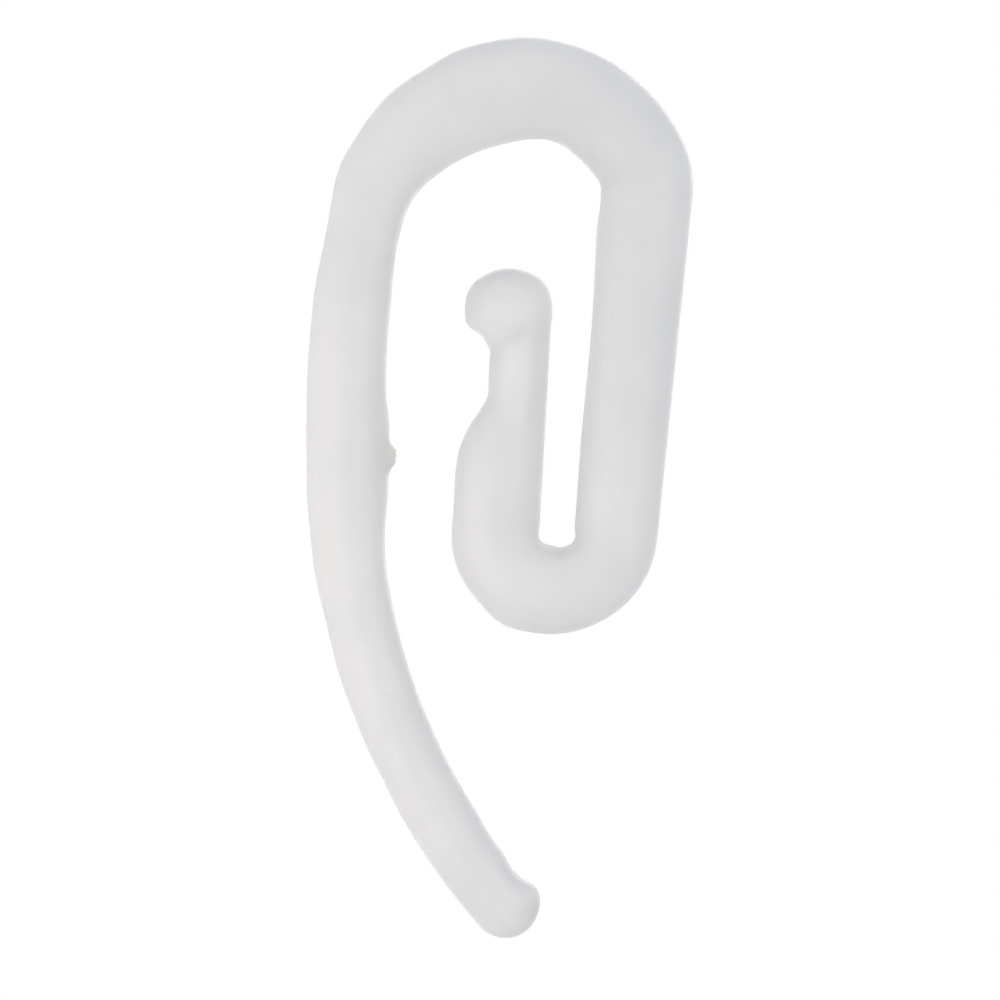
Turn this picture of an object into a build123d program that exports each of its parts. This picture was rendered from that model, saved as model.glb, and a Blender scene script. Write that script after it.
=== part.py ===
from build123d import *
import os
from math import sqrt

# A moulded nylon curtain hook: one round bar, bent in one plane, with no joints. From the crown of the
# arch one side runs down as a stem and swings under as a tail; the other runs down as a leg, turns back
# on itself in a tight bend and ends in a springy prong with a ball knob, standing beside the leg.
# X runs across the hook, Y through its thickness and Z up. The origin is the inside of the crown, on
# the mid-plane, where the arch hangs.

# Fixed for every size: the turn from level to straight down, and the places of ribs along a run, of which
# a straight taper needs only those at its ends
QUARTER_TURN = 90
RIB_STEPS = 8
RIB_SHARES = [step / RIB_STEPS for step in range(RIB_STEPS + 1)]
END_SHARES = [0, 1]

# Bar diameters, in millimetres, in order along the hook
tail_d = 2.2
stem_d = 2.65
stem_top_d = 2.55
crown_d = 3.4
leg_top_d = 3.1
leg_foot_d = 2.75
prong_d = 2.95

# Stem side of the centreline: radii and lengths in millimetres, turns in degrees
arch_left_r = 5.5
crown_turn = 16
stem_bow_r = 26
stem_bow_turn = 12.5
stem_length = 3.3
tail_r = 21
tail_root_turn = 11
tail_turn = 30.5

# Leg side of the centreline, where the slot is the gap between the leg and the prong
arch_right_r = 4.2
shoulder_inner_r = 0.3
shoulder_turn = 30
leg_length = 11.5
leg_lean = 5
slot_width = 1.2
bend_in_turn = 55
bend_swell_turn = 49
prong_lean = 3.3
prong_length = 1.1

# Cheek, neck and knob at the prong's free end
neck_step = 1.0
cheek_r = 5.75
neck_length = 2.8
knob_d = 2.9
knob_proud = 0.03

# Gate stub on the stem's inner side, placed by its distance up the stem from the tail's root
gate_up = 1.0
gate_d = 1.5
gate_top_d = 0.5
gate_rise = 0.27

# Worked out from the sizes above
arch_left_turn = QUARTER_TURN - crown_turn - stem_bow_turn
arch_right_turn = QUARTER_TURN + leg_lean - shoulder_turn
shoulder_r = shoulder_inner_r + leg_top_d / 2
bend_r = (slot_width + leg_foot_d / 2 + prong_d / 2) / 2
bend_out_turn = 2 * QUARTER_TURN - leg_lean + prong_lean - bend_in_turn - bend_swell_turn
neck_d = prong_d - neck_step
cheek_length = sqrt(neck_step * (2 * cheek_r - neck_step))
knob_shift = (knob_d - neck_d) / 2 - knob_proud
gate_sink = gate_d / 4

# Centreline, drawn both ways from the crown as tangent arcs and straight runs
crown = (0, crown_d / 2)
with BuildLine(Plane.XZ) as centreline:
    crown_bar = JernArc(crown, (-1, 0), arch_left_r, crown_turn)
    arch_left = JernArc(crown_bar @ 1, crown_bar % 1, arch_left_r, arch_left_turn)
    stem_bow = JernArc(arch_left @ 1, arch_left % 1, stem_bow_r, stem_bow_turn)
    stem = PolarLine(stem_bow @ 1, stem_length, direction=stem_bow % 1)
    tail_root = JernArc(stem @ 1, stem % 1, tail_r, tail_root_turn)
    tail = JernArc(tail_root @ 1, tail_root % 1, tail_r, tail_turn)
    arch_right = JernArc(crown, (1, 0), arch_right_r, -arch_right_turn)
    shoulder = JernArc(arch_right @ 1, arch_right % 1, shoulder_r, -shoulder_turn)
    leg = PolarLine(shoulder @ 1, leg_length, direction=shoulder % 1)
    bend_in = JernArc(leg @ 1, leg % 1, bend_r, -bend_in_turn)
    bend_swell = JernArc(bend_in @ 1, bend_in % 1, bend_r, -bend_swell_turn)
    bend_out = JernArc(bend_swell @ 1, bend_swell % 1, bend_r, -bend_out_turn)
    prong = PolarLine(bend_out @ 1, prong_length, direction=bend_out % 1)


def plane_across(run, share):
    """Plane square to a run of the centreline, with its Y axis to the left of the way the run goes."""
    return Plane(origin=run @ share, x_dir=(0, 1, 0), z_dir=run % share)


def add_bar(run, bar_d):
    """Round bar of one diameter along one run."""
    with BuildSketch(plane_across(run, 0)) as rib:
        Circle(bar_d / 2)
    sweep(sections=rib.sketch, path=run)


def add_taper(run, start_d, end_d, shares):
    """Round bar along one run, easing from one diameter to the other with no step where two runs meet."""
    ribs = []
    for share in shares:
        ease = share**2 * (3 - 2 * share)
        with BuildSketch(plane_across(run, share)) as rib:
            Circle((start_d + (end_d - start_d) * ease) / 2)
        ribs.append(rib.sketch)
    sweep(sections=ribs, path=run, multisection=True)


with BuildPart() as hook:
    add_bar(crown_bar, crown_d)
    add_taper(arch_left, crown_d, stem_top_d, RIB_SHARES)
    add_bar(stem_bow, stem_top_d)
    add_taper(stem, stem_top_d, stem_d, END_SHARES)
    add_taper(tail_root, stem_d, tail_d, RIB_SHARES)
    add_bar(tail, tail_d)
    add_taper(arch_right, crown_d, leg_top_d, RIB_SHARES)
    add_bar(shoulder, leg_top_d)
    add_taper(leg, leg_top_d, leg_foot_d, END_SHARES)
    add_bar(bend_in, leg_foot_d)
    add_taper(bend_swell, leg_foot_d, prong_d, RIB_SHARES)
    add_bar(bend_out, prong_d)
    add_bar(prong, prong_d)

    # Cheek: thins to the neck in an arc on the loop's side only, so the slot's side stays straight
    prong_top = plane_across(prong, 1)
    for share in RIB_SHARES:
        rise = share * cheek_length
        drop = cheek_r - sqrt(cheek_r**2 - rise**2)
        with BuildSketch(prong_top.offset(rise)):
            with Locations((0, -drop / 2)):
                Circle((prong_d - drop) / 2)
    loft()

    # Neck, and the ball knob that hangs over it on the loop's side
    with BuildSketch(prong_top.offset(cheek_length)):
        with Locations((0, -neck_step / 2)):
            Circle(neck_d / 2)
    extrude(amount=neck_length)
    with Locations(prong_top.offset(cheek_length + neck_length)):
        with Locations((0, knob_shift - neck_step / 2)):
            Sphere(knob_d / 2)

    # Rounded tip of the tail
    with Locations(plane_across(tail, 1)):
        Sphere(tail_d / 2, arc_size1=0, align=(Align.CENTER, Align.CENTER, Align.MIN))

    # Gate stub, a low cone standing out of the stem into the loop
    gate_centre = stem @ 1 + Vector(stem_d / 2 - gate_sink, 0, gate_up)
    with Locations(Plane(origin=gate_centre, x_dir=(0, 1, 0), z_dir=(1, 0, 0))):
        Cone(gate_d / 2, gate_top_d / 2, gate_sink + gate_rise, align=(Align.CENTER, Align.CENTER, Align.MIN))

hook.part.label = "hook"
os.makedirs("parts", exist_ok=True)
export_step(hook.part, "parts/hook.step")
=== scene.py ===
import bpy
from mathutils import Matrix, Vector


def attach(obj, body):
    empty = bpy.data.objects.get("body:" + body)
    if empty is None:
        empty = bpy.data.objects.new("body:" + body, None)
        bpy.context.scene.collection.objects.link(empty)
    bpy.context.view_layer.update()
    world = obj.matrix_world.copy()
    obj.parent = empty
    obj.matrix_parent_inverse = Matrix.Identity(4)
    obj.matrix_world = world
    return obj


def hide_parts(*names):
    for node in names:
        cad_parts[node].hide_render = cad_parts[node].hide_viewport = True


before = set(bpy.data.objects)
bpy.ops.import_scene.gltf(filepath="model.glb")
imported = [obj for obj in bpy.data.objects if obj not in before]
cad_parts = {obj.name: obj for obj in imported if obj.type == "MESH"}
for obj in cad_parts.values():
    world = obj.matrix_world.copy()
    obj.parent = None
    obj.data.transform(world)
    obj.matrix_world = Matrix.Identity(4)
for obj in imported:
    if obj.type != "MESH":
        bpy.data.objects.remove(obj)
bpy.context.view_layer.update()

# Lengths are millimetres in the hook's own frame, and become metres where they meet the scene
MM = 0.001

# What the camera sees: a square 33.3 mm wide
VIEW_WIDTH = 100 / 3
VIEW_MIDDLE = Vector((-0.893, 0, -11.960))
LENS = 200
SENSOR = 36
CLIP_START = 10

# The hook's skin: one even mesh over the solid, smoothed all over
SOLID_MERGE = 0.001
SKIN_STEP = 0.092
SKIN_ROUNDS = 6
SMOOTHING = 0.5

# Seam that the two mould halves left round the mid-plane
SEAM_MERGE = 0.02
SEAM_BAND = 0.001
SEAM_RISE = 0.02

# Neck under the knob: an oval core fills it out front and back, so that it flows up into the knob
NECK_FOOT = Vector((-0.55, 0, -10.6))
NECK_HEAD = Vector((-0.22, 0, -5.8))
NECK_FOOT_R = 1.3
NECK_HEAD_R = 1.17
NECK_OVAL = 0.72
NECK_SIDES = 96

# Places where core, cheek and knob flow into each other: name, middle, reach and rounds of smoothing
FLOWS = (
    ("neck_flow", Vector((0.15, 0, -6.5)), Vector((1.35, 2.4, 1.5)), 30),
    ("cheek_flow", Vector((-0.5, 0, -9.2)), Vector((1.2, 2.4, 2.2)), 38),
    ("front_crease_flow", Vector((-0.9, -0.95, -6.8)), Vector((0.9, 0.9, 1.0)), 30),
    ("back_crease_flow", Vector((-0.9, 0.95, -6.8)), Vector((0.9, 0.9, 1.0)), 30),
)

# Places where the skin stands a little out from the solid's even bar, or falls in:
# name, middle, reach and rise
TOUCHES = (
    ("knob_corner", Vector((0.55, 0, -4.75)), Vector((0.9, 1.2, 0.9)), 0.08),
    ("knob_brow", Vector((-1.83, 0, -4.9)), Vector((0.8, 1.2, 0.8)), 0.06),
    ("knob_underside", Vector((-1.58, 0, -6.6)), Vector((0.8, 1.3, 0.75)), -0.28),
    ("gate_ramp", Vector((-4.6, 0, -9.55)), Vector((0.8, 1.1, 1.2)), 0.11),
    ("gate_scar", Vector((-4.6, 0, -11.1)), Vector((0.9, 1.3, 1.9)), 0.04),
    ("tip_waist", Vector((-0.38, 0, -24.3)), Vector((0.9, 1.5, 0.9)), -0.17),
    ("tip_corner", Vector((0.4, 0, -25.1)), Vector((0.75, 1.3, 0.75)), 0.07),
    ("crown_outside", Vector((-0.2, 0, 3.4)), Vector((1.5, 1.5, 0.9)), 0.05),
    ("crown_inside", Vector((0.7, 0, -0.1)), Vector((1.5, 1.6, 0.9)), -0.13),
    ("arch_corner", Vector((-6.15, 0, -0.8)), Vector((0.9, 1.5, 1.4)), 0.06),
    ("arch_outside", Vector((-3.4, 0, 2.4)), Vector((1.8, 1.6, 1.3)), -0.09),
    ("stem_top_outside", Vector((-6.75, 0, -3.1)), Vector((1.0, 1.6, 2.2)), -0.08),
    ("stem_top_inside", Vector((-3.7, 0, -2.4)), Vector((1.2, 1.6, 2.2)), -0.08),
    ("stem_bow_inside", Vector((-4.35, 0, -3.9)), Vector((0.8, 1.5, 1.5)), -0.07),
    ("stem_outside", Vector((-7.3, 0, -8.9)), Vector((0.9, 1.6, 3.2)), 0.06),
    ("tail_root", Vector((-6.95, 0, -14.9)), Vector((0.9, 1.6, 2.4)), 0.10),
    ("tail_outside", Vector((-6.25, 0, -17.6)), Vector((0.9, 1.5, 2.8)), 0.05),
    ("tail_bow_outside", Vector((-4.76, 0, -21.4)), Vector((0.9, 1.3, 1.8)), -0.04),
    ("stem_foot_inside", Vector((-4.62, 0, -13.4)), Vector((0.8, 1.5, 2.2)), -0.07),
    ("tail_end_inside", Vector((-1.2, 0, -23.4)), Vector((1.1, 1.3, 1.4)), -0.09),
    ("shoulder_inside", Vector((2.4, 0, -1.95)), Vector((0.6, 1.4, 1.1)), -0.08),
    ("slot_corner_prong", Vector((0.45, 0, -13.3)), Vector((0.45, 1.5, 0.45)), -0.09),
    ("slot_corner_leg", Vector((1.55, 0, -13.3)), Vector((0.45, 1.5, 0.45)), -0.09),
    ("leg_inside", Vector((2.05, 0, -5.9)), Vector((0.8, 1.6, 4.6)), -0.08),
    ("prong_side", Vector((-2.45, 0, -12.1)), Vector((0.8, 1.6, 2.0)), -0.09),
    ("bend_foot", Vector((-0.8, 0, -16.0)), Vector((1.2, 1.6, 0.9)), 0.10),
    ("cheek_side", Vector((-1.7, 0, -8.8)), Vector((0.8, 1.4, 1.2)), -0.08),
)

# Torn gate on the stem's inner side: its root flows into the stem, and its end is drawn out and rough
GATE_MIDDLE = Vector((-4.5, 0, -10.4))
GATE_FLOW_REACH = Vector((0.9, 1.2, 1.2))
GATE_FLOW_ROUNDS = 34
GATE_PEAK = Vector((-4.4, 0, -10.42))
GATE_PEAK_REACH = Vector((0.6, 0.6, 0.45))
GATE_PEAK_RISE = 0.02
GATE_TEAR_REACH = Vector((0.75, 0.75, 0.75))
GATE_TEAR_DEPTH = 0.16
GATE_TEAR_GRAIN = 0.14

# Patterns in the nylon: a noise is its scale in cells a metre, its detail and its roughness, and a
# speck's core and rim are shares of a cell
CLOUD_NOISE = (330, 3, 0.55)
CLOUD_SPAN = (0.35, 0.68)
SPECK_SCALE = 620
SPECK_CORE = 0.03
SPECK_RIM = 0.06
SPECK_SHARE = 0.06
PEEL_NOISE = (1900, 2, 0.5)
PEEL_SHARE = 0.35
RIPPLE_NOISE = (420, 2, 0.5)
RIPPLE_SPAN = (0.3, 0.7)

# The nylon's finish: waxy, and milky enough for light to go a little way in
SKIN_ROUGHNESS = (0.34, 0.46)
SKIN_SHINE = 0.2
SKIN_BUMP = 0.12
SKIN_BUMP_HEIGHT = 0.03
NYLON_IOR = 1.5
MILK_DEPTH = 0.8
MILK_REACH = (1.0, 0.95, 0.9)

# Painted shade on the lower right of the tail's tip, a darker yellowish tint where its rounded end turns
# from the light, and the same darker, yellower tint round the gate
PAINTED_TIP_SHADE = Vector((0.45, 0, -25.7))
PAINTED_TIP_SHADE_REACH = 1.4
GATE_TINT_REACH = 1.1
SHADE_AND_TINT_SHARE = 0.45

# Colours, in linear light
NYLON_MILK = (0.735, 0.722, 0.718, 1)
NYLON_CLOUD = (0.700, 0.692, 0.694, 1)
# Darker yellowish tint: painted shade on the tail's tip, and the tint round the gate
PAINTED_SHADE_AND_GATE_TINT = (0.600, 0.575, 0.490, 1)
SPECK_DARK = (0.30, 0.28, 0.25, 1)
FLOOR_WHITE = (0.86, 0.86, 0.86, 1)
BACKDROP_WHITE = (1, 1, 1, 1)
AMBIENT = (0.80, 0.92, 1.0, 1)
AMBIENT_LEVEL = 0.53

# Floor, and the glow that lifts it to white for the camera: less near the hook, where its shadow falls
FLOOR_SIZE = 600
FLOOR_DROP = -62
FLOOR_ROUGHNESS = 0.9
FLOOR_SHINE = 0.1
FLOOR_GLOW_NEAR = 0.24
FLOOR_GLOW_FAR = 0.60
FLOOR_GLOW_START = 30
FLOOR_GLOW_END = 90

# Soft light panels, which all face one place: name, place, side, power in watts and tint
PANEL_AIM = Vector((-0.9, 0, -11.5))
PANELS = (
    ("near_panel", Vector((-35, -41, -24)), 38, 0.0105, (1.0, 0.95, 0.92)),
    ("left_panel", Vector((-90, -15, -10)), 90, 0.021, (1.0, 0.82, 0.70)),
    ("far_panel", Vector((70, -66, -5)), 90, 0.037, (1.0, 0.93, 0.89)),
    ("top_panel", Vector((-10, -30, 80)), 90, 0.0265, (1.0, 0.91, 0.89)),
    ("back_panel", Vector((10, 118, 6)), 90, 0.042, (1.0, 0.93, 0.89)),
)


def pick(piece):
    """Makes one piece the only one that is selected."""
    bpy.ops.object.select_all(action="DESELECT")
    piece.select_set(True)
    bpy.context.view_layer.objects.active = piece


def edit_all(piece):
    """Opens a piece in edit mode with everything on it selected."""
    pick(piece)
    bpy.ops.object.mode_set(mode="EDIT")
    bpy.ops.mesh.select_all(action="SELECT")


def finish_modifier(piece, modifier):
    """Makes a modifier's result the piece's own mesh."""
    pick(piece)
    bpy.ops.object.modifier_apply(modifier=modifier.name)


def closeness(point, middle, reach):
    """1 at the middle of an egg-shaped region, easing to 0 at its rim."""
    away = point - middle
    share = min(1, Vector((away.x / reach.x, away.y / reach.y, away.z / reach.z)).length)
    return (1 - share * share) ** 2


def region(piece, name, middle, reach):
    """Vertex group that is strongest in the middle of a region and fades out at its rim."""
    group = piece.vertex_groups.new(name=name)
    for vertex in piece.data.vertices:
        weight = closeness(vertex.co, middle, reach)
        if weight > 0:
            group.add([vertex.index], weight, "REPLACE")


def push(piece, name, middle, reach, rise):
    """Pushes a region of the skin out, or in where the rise is below 0, most at its middle."""
    region(piece, name, middle, reach)
    shift = piece.modifiers.new(name, "DISPLACE")
    shift.vertex_group = name
    shift.mid_level = 0
    shift.strength = rise
    finish_modifier(piece, shift)
    piece.vertex_groups.clear()


def smooth(piece, name, rounds, group=""):
    """Smooths the skin all over, or in one vertex group."""
    flow = piece.modifiers.new(name, "SMOOTH")
    flow.vertex_group = group
    flow.factor = SMOOTHING
    flow.iterations = rounds
    finish_modifier(piece, flow)


def soften(piece, name, middle, reach, rounds):
    """Smooths the skin round a place so that two forms flow into each other there."""
    region(piece, name, middle, reach)
    smooth(piece, name, rounds, name)
    piece.vertex_groups.clear()


def copy_solid():
    """The solid's shape as a piece of its own, merged, and a thousand times its size to be worked on."""
    hook = bpy.data.objects.new("nylon_hook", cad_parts["hook"].data.copy())
    bpy.context.scene.collection.objects.link(hook)
    hook.data.materials.clear()
    # At its real size the finest step that a remesh takes would be too coarse for the hook
    edit_all(hook)
    bpy.ops.transform.resize(value=(1 / MM, 1 / MM, 1 / MM), center_override=(0, 0, 0))
    bpy.ops.mesh.remove_doubles(threshold=SOLID_MERGE)
    bpy.ops.object.mode_set(mode="OBJECT")
    return hook


def fill_neck(hook):
    """Adds the oval core that fills out the neck, front and back."""
    axis = NECK_HEAD - NECK_FOOT
    bpy.ops.object.select_all(action="DESELECT")
    bpy.ops.mesh.primitive_cone_add(
        vertices=NECK_SIDES, radius1=NECK_FOOT_R, radius2=NECK_HEAD_R, depth=axis.length,
        location=(NECK_HEAD + NECK_FOOT) / 2, rotation=axis.to_track_quat("Z", "Y").to_euler(),
        scale=(1, NECK_OVAL, 1),
    )
    core = bpy.context.active_object
    pick(core)
    bpy.ops.object.transform_apply(location=True, rotation=True, scale=True)
    pick(hook)
    core.select_set(True)
    bpy.ops.object.join()


def draw_skin(hook):
    """Draws one even skin over the bar and the neck's core."""
    skin = hook.modifiers.new("skin", "REMESH")
    skin.mode = "VOXEL"
    skin.voxel_size = SKIN_STEP
    finish_modifier(hook, skin)
    smooth(hook, "flow", SKIN_ROUNDS)


def tear_gate(hook):
    """Torn plastic on the stem, where the gate was snapped off."""
    soften(hook, "gate_flow", GATE_MIDDLE, GATE_FLOW_REACH, GATE_FLOW_ROUNDS)
    push(hook, "gate_peak", GATE_PEAK, GATE_PEAK_REACH, GATE_PEAK_RISE)
    grain = bpy.data.textures.new("torn_grain", "CLOUDS")
    grain.noise_scale = GATE_TEAR_GRAIN
    region(hook, "gate_tear", GATE_MIDDLE, GATE_TEAR_REACH)
    torn = hook.modifiers.new("gate_tear", "DISPLACE")
    torn.texture = grain
    torn.texture_coords = "LOCAL"
    torn.vertex_group = "gate_tear"
    torn.strength = GATE_TEAR_DEPTH
    finish_modifier(hook, torn)
    hook.vertex_groups.clear()


def raise_seam(hook):
    """Low seam where the two mould halves met, all round the mid-plane."""
    edit_all(hook)
    bpy.ops.mesh.bisect(plane_co=(0, 0, 0), plane_no=(0, 1, 0))
    bpy.ops.mesh.select_all(action="SELECT")
    bpy.ops.mesh.remove_doubles(threshold=SEAM_MERGE)
    bpy.ops.mesh.select_all(action="DESELECT")
    bpy.ops.object.mode_set(mode="OBJECT")
    for vertex in hook.data.vertices:
        vertex.select = abs(vertex.co.y) < SEAM_BAND
    bpy.ops.object.mode_set(mode="EDIT")
    bpy.ops.transform.shrink_fatten(value=SEAM_RISE)
    bpy.ops.object.mode_set(mode="OBJECT")


def make_hook():
    """The hook in one skin: the solid's own shape, with its full neck, uneven moulding, gate and seam."""
    hook = copy_solid()
    fill_neck(hook)
    draw_skin(hook)
    for name, middle, reach, rounds in FLOWS:
        soften(hook, name, middle, reach, rounds)
    for name, middle, reach, rise in TOUCHES:
        push(hook, name, middle, reach, rise)
    tear_gate(hook)
    raise_seam(hook)

    # Back to its real size
    edit_all(hook)
    bpy.ops.mesh.normals_make_consistent(inside=False)
    bpy.ops.transform.resize(value=(MM, MM, MM), center_override=(0, 0, 0))
    bpy.ops.object.mode_set(mode="OBJECT")
    pick(hook)
    bpy.ops.object.shade_smooth()
    return hook


def new_group(name, inputs, outputs):
    """Empty shader node group with named sockets."""
    group = bpy.data.node_groups.new(name, "ShaderNodeTree")
    for kind, label, value in inputs:
        socket = group.interface.new_socket(name=label, in_out="INPUT", socket_type=kind)
        if value is not None:
            socket.default_value = value
    for kind, label in outputs:
        group.interface.new_socket(name=label, in_out="OUTPUT", socket_type=kind)
    return group


def add_group(tree, group, place):
    """Puts a node group into a material, with the place on the hook that its pattern follows."""
    node = tree.nodes.new("ShaderNodeGroup")
    node.node_tree = group
    tree.links.new(place, node.inputs["Place"])
    return node


def noise(tree, place, scale, detail, roughness):
    """Noise value that follows a place on the hook."""
    node = tree.nodes.new("ShaderNodeTexNoise")
    node.inputs["Scale"].default_value = scale
    node.inputs["Detail"].default_value = detail
    node.inputs["Roughness"].default_value = roughness
    tree.links.new(place, node.inputs["Vector"])
    return node.outputs["Fac"]


def spread(tree, value, span, to_span):
    """Map Range node from one span of values to another, held at its ends."""
    node = tree.nodes.new("ShaderNodeMapRange")
    node.inputs["From Min"].default_value = span[0]
    node.inputs["From Max"].default_value = span[1]
    node.inputs["To Min"].default_value = to_span[0]
    node.inputs["To Max"].default_value = to_span[1]
    tree.links.new(value, node.inputs["Value"])
    return node


def larger(tree, first, second):
    """The larger of two values."""
    node = tree.nodes.new("ShaderNodeMath")
    node.operation = "MAXIMUM"
    tree.links.new(first, node.inputs[0])
    tree.links.new(second, node.inputs[1])
    return node.outputs["Value"]


def blend_colours(tree, share, colour):
    """Mix node that takes a share of another colour into this one; its B socket gets the other."""
    node = tree.nodes.new("ShaderNodeMix")
    node.data_type = "RGBA"
    tree.links.new(share, node.inputs["Factor"])
    tree.links.new(colour, node.inputs["A"])
    return node


def milky_cloud_group():
    """Faint cloudy change of tint through the nylon, with sparse tiny specks."""
    group = new_group(
        "milky_cloud",
        [("NodeSocketVector", "Place", None), ("NodeSocketColor", "Milk", NYLON_MILK),
         ("NodeSocketColor", "Cloud", NYLON_CLOUD)],
        [("NodeSocketColor", "Colour")],
    )
    ins = group.nodes.new("NodeGroupInput")
    outs = group.nodes.new("NodeGroupOutput")
    place = ins.outputs["Place"]
    share = spread(group, noise(group, place, *CLOUD_NOISE), CLOUD_SPAN, (0, 1))
    tint = blend_colours(group, share.outputs["Result"], ins.outputs["Milk"])
    group.links.new(ins.outputs["Cloud"], tint.inputs["B"])
    specks = group.nodes.new("ShaderNodeTexVoronoi")
    specks.inputs["Scale"].default_value = SPECK_SCALE
    group.links.new(place, specks.inputs["Vector"])
    dot = spread(group, specks.outputs["Distance"], (SPECK_CORE, SPECK_RIM), (SPECK_SHARE, 0))
    dark = blend_colours(group, dot.outputs["Result"], tint.outputs["Result"])
    dark.inputs["B"].default_value = SPECK_DARK
    group.links.new(dark.outputs["Result"], outs.inputs["Colour"])
    return group


def moulded_skin_group():
    """Fine peel and broader ripple of a moulded skin as a height, and its change of roughness."""
    group = new_group(
        "moulded_skin",
        [("NodeSocketVector", "Place", None)],
        [("NodeSocketFloat", "Height"), ("NodeSocketFloat", "Roughness")],
    )
    ins = group.nodes.new("NodeGroupInput")
    outs = group.nodes.new("NodeGroupOutput")
    peel = noise(group, ins.outputs["Place"], *PEEL_NOISE)
    ripple = noise(group, ins.outputs["Place"], *RIPPLE_NOISE)
    both = group.nodes.new("ShaderNodeMath")
    both.operation = "MULTIPLY_ADD"
    both.inputs[1].default_value = PEEL_SHARE
    group.links.new(peel, both.inputs[0])
    group.links.new(ripple, both.inputs[2])
    group.links.new(both.outputs["Value"], outs.inputs["Height"])
    dullness = spread(group, ripple, RIPPLE_SPAN, SKIN_ROUGHNESS)
    group.links.new(dullness.outputs["Result"], outs.inputs["Roughness"])
    return group


def near_place(tree, place, middle, reach):
    """Mask that is 1 at a place on the hook and fades to 0 at its reach."""
    away = tree.nodes.new("ShaderNodeVectorMath")
    away.operation = "DISTANCE"
    away.inputs[1].default_value = middle * MM
    tree.links.new(place, away.inputs[0])
    mask = spread(tree, away.outputs["Value"], (0, reach * MM), (1, 0))
    mask.interpolation_type = "SMOOTHSTEP"
    return mask.outputs["Result"]


def nylon_material():
    """Milky white nylon with a waxy skin, with painted shade on the tail's tip and a darker, yellower
    tint round the gate.
    """
    material = bpy.data.materials.new("milky_nylon")
    material.use_nodes = True
    tree = material.node_tree
    shader = tree.nodes["Principled BSDF"]
    place = tree.nodes.new("ShaderNodeTexCoord").outputs["Object"]
    cloud = add_group(tree, milky_cloud_group(), place)
    skin = add_group(tree, moulded_skin_group(), place)

    # Painted shade on the tail's tip, and a darker, yellower tint round the gate, mixed into the nylon's
    # colour
    tip = near_place(tree, place, PAINTED_TIP_SHADE, PAINTED_TIP_SHADE_REACH)
    gate = near_place(tree, place, GATE_MIDDLE, GATE_TINT_REACH)
    shade_and_tint = tree.nodes.new("ShaderNodeMath")
    shade_and_tint.operation = "MULTIPLY"
    shade_and_tint.inputs[1].default_value = SHADE_AND_TINT_SHARE
    tree.links.new(larger(tree, tip, gate), shade_and_tint.inputs[0])
    shade_tint_mix = blend_colours(tree, shade_and_tint.outputs["Value"], cloud.outputs["Colour"])
    shade_tint_mix.inputs["B"].default_value = PAINTED_SHADE_AND_GATE_TINT
    tree.links.new(shade_tint_mix.outputs["Result"], shader.inputs["Base Color"])
    tree.links.new(skin.outputs["Roughness"], shader.inputs["Roughness"])

    bump = tree.nodes.new("ShaderNodeBump")
    bump.inputs["Strength"].default_value = SKIN_BUMP
    bump.inputs["Distance"].default_value = SKIN_BUMP_HEIGHT * MM
    tree.links.new(skin.outputs["Height"], bump.inputs["Height"])
    tree.links.new(bump.outputs["Normal"], shader.inputs["Normal"])

    shader.inputs["IOR"].default_value = NYLON_IOR
    shader.inputs["Specular IOR Level"].default_value = SKIN_SHINE
    shader.inputs["Subsurface Weight"].default_value = 1
    shader.inputs["Subsurface Radius"].default_value = MILK_REACH
    shader.inputs["Subsurface Scale"].default_value = MILK_DEPTH * MM
    return material


def looked_at(tree):
    """1 for what the camera sees, also in reflections and through clear things, and 0 for other light."""
    path = tree.nodes.new("ShaderNodeLightPath")
    seen = larger(tree, path.outputs["Is Camera Ray"], path.outputs["Is Glossy Ray"])
    return larger(tree, seen, path.outputs["Is Transmission Ray"])


def choose_shader(tree, share, plain, shown):
    """Mix Shader node from a plain shader to the one that is shown."""
    node = tree.nodes.new("ShaderNodeMixShader")
    tree.links.new(share, node.inputs["Fac"])
    tree.links.new(plain, node.inputs[1])
    tree.links.new(shown, node.inputs[2])
    return node.outputs["Shader"]


def pale_floor_material():
    """Plain pale surface, with a glow where it is looked at that lifts it to white."""
    material = bpy.data.materials.new("pale_floor")
    material.use_nodes = True
    tree = material.node_tree
    shader = tree.nodes["Principled BSDF"]
    shader.inputs["Base Color"].default_value = FLOOR_WHITE
    shader.inputs["Roughness"].default_value = FLOOR_ROUGHNESS
    shader.inputs["Specular IOR Level"].default_value = FLOOR_SHINE
    away = tree.nodes.new("ShaderNodeVectorMath")
    away.operation = "LENGTH"
    tree.links.new(tree.nodes.new("ShaderNodeTexCoord").outputs["Object"], away.inputs[0])
    glow_reach = (FLOOR_GLOW_START * MM, FLOOR_GLOW_END * MM)
    level = spread(tree, away.outputs["Value"], glow_reach, (FLOOR_GLOW_NEAR, FLOOR_GLOW_FAR))
    glow = tree.nodes.new("ShaderNodeEmission")
    tree.links.new(level.outputs["Result"], glow.inputs["Strength"])
    lifted = tree.nodes.new("ShaderNodeAddShader")
    tree.links.new(shader.outputs["BSDF"], lifted.inputs[0])
    tree.links.new(glow.outputs["Emission"], lifted.inputs[1])
    surface = choose_shader(tree, looked_at(tree), shader.outputs["BSDF"], lifted.outputs["Shader"])
    tree.links.new(surface, tree.nodes["Material Output"].inputs["Surface"])
    return material


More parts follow.
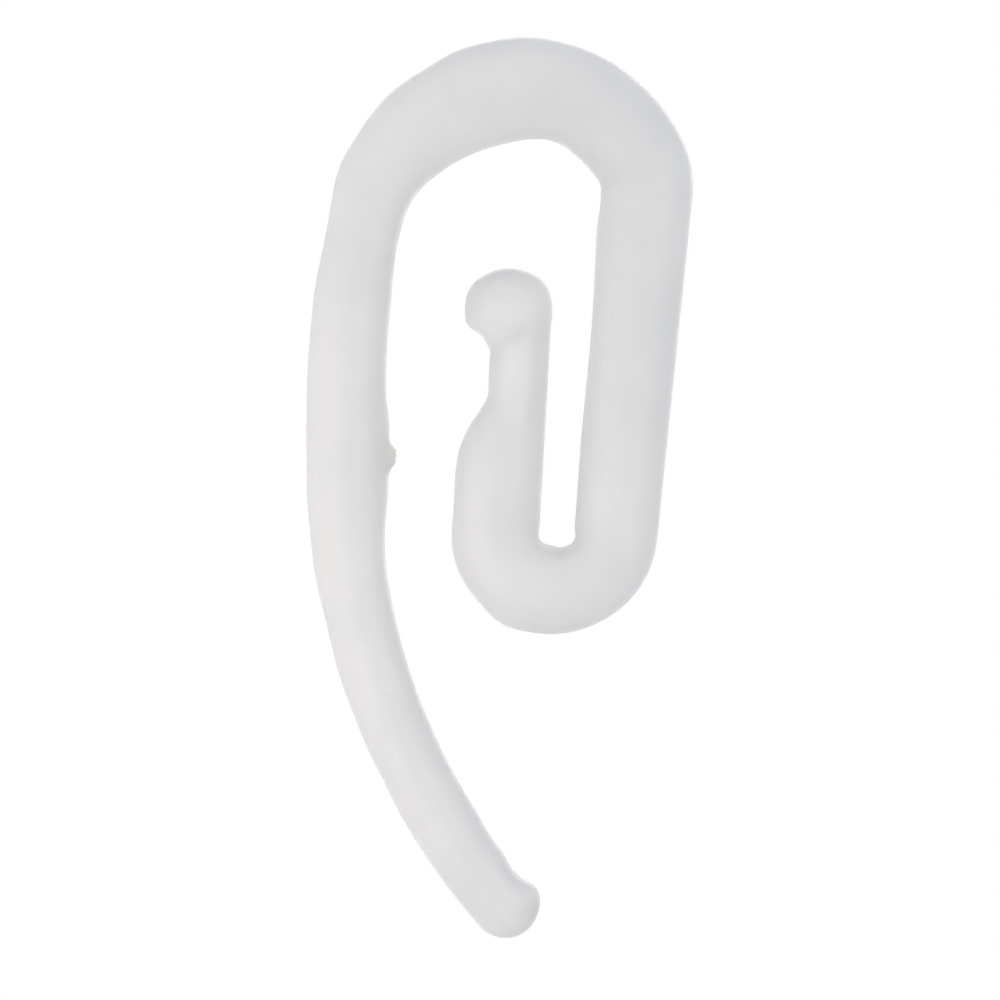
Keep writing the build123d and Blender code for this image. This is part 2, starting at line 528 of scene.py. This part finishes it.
def make_floor():
    """Plain pale floor well below the hook, out of the camera's frame."""
    bpy.ops.object.select_all(action="DESELECT")
    bpy.ops.mesh.primitive_plane_add(size=FLOOR_SIZE * MM, location=(0, 0, FLOOR_DROP * MM))
    floor = bpy.context.active_object
    floor.name = "floor"
    floor.data.materials.append(pale_floor_material())


def make_world():
    """Even studio surround: white where the camera looks past the hook, softer as light."""
    world = bpy.data.worlds.new("studio")
    bpy.context.scene.world = world
    world.use_nodes = True
    tree = world.node_tree
    light = tree.nodes["Background"]
    light.inputs["Color"].default_value = AMBIENT
    light.inputs["Strength"].default_value = AMBIENT_LEVEL
    backdrop = tree.nodes.new("ShaderNodeBackground")
    backdrop.inputs["Color"].default_value = BACKDROP_WHITE
    backdrop.inputs["Strength"].default_value = 1
    surround = choose_shader(
        tree, looked_at(tree), light.outputs["Background"], backdrop.outputs["Background"])
    tree.links.new(surround, tree.nodes["World Output"].inputs["Surface"])


def make_panel(name, place, side, power, tint):
    """Soft square light panel that faces the hook's middle."""
    lamp = bpy.data.lights.new(name, "AREA")
    lamp.shape = "SQUARE"
    lamp.size = side * MM
    lamp.energy = power
    lamp.color = tint
    panel = bpy.data.objects.new(name, lamp)
    bpy.context.scene.collection.objects.link(panel)
    panel.location = place * MM
    panel.rotation_euler = (PANEL_AIM * MM - panel.location).to_track_quat("-Z", "Y").to_euler()


def make_camera():
    """Level camera, straight on to the hook's flat face."""
    eye = bpy.data.cameras.new("eye")
    eye.lens = LENS
    eye.sensor_width = SENSOR
    eye.clip_start = CLIP_START * MM
    camera = bpy.data.objects.new("camera", eye)
    bpy.context.scene.collection.objects.link(camera)
    distance = VIEW_WIDTH * LENS / SENSOR
    camera.location = (VIEW_MIDDLE + Vector((0, -distance, 0))) * MM
    camera.rotation_euler = Vector((0, 1, 0)).to_track_quat("-Z", "Y").to_euler()
    bpy.context.scene.camera = camera


make_camera()
hook = make_hook()
hook.data.materials.append(nylon_material())
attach(hook, "root")
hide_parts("hook")

make_floor()
make_world()
for name, place, side, power, tint in PANELS:
    make_panel(name, place, side, power, tint)

bpy.context.scene.view_settings.view_transform = "Standard"
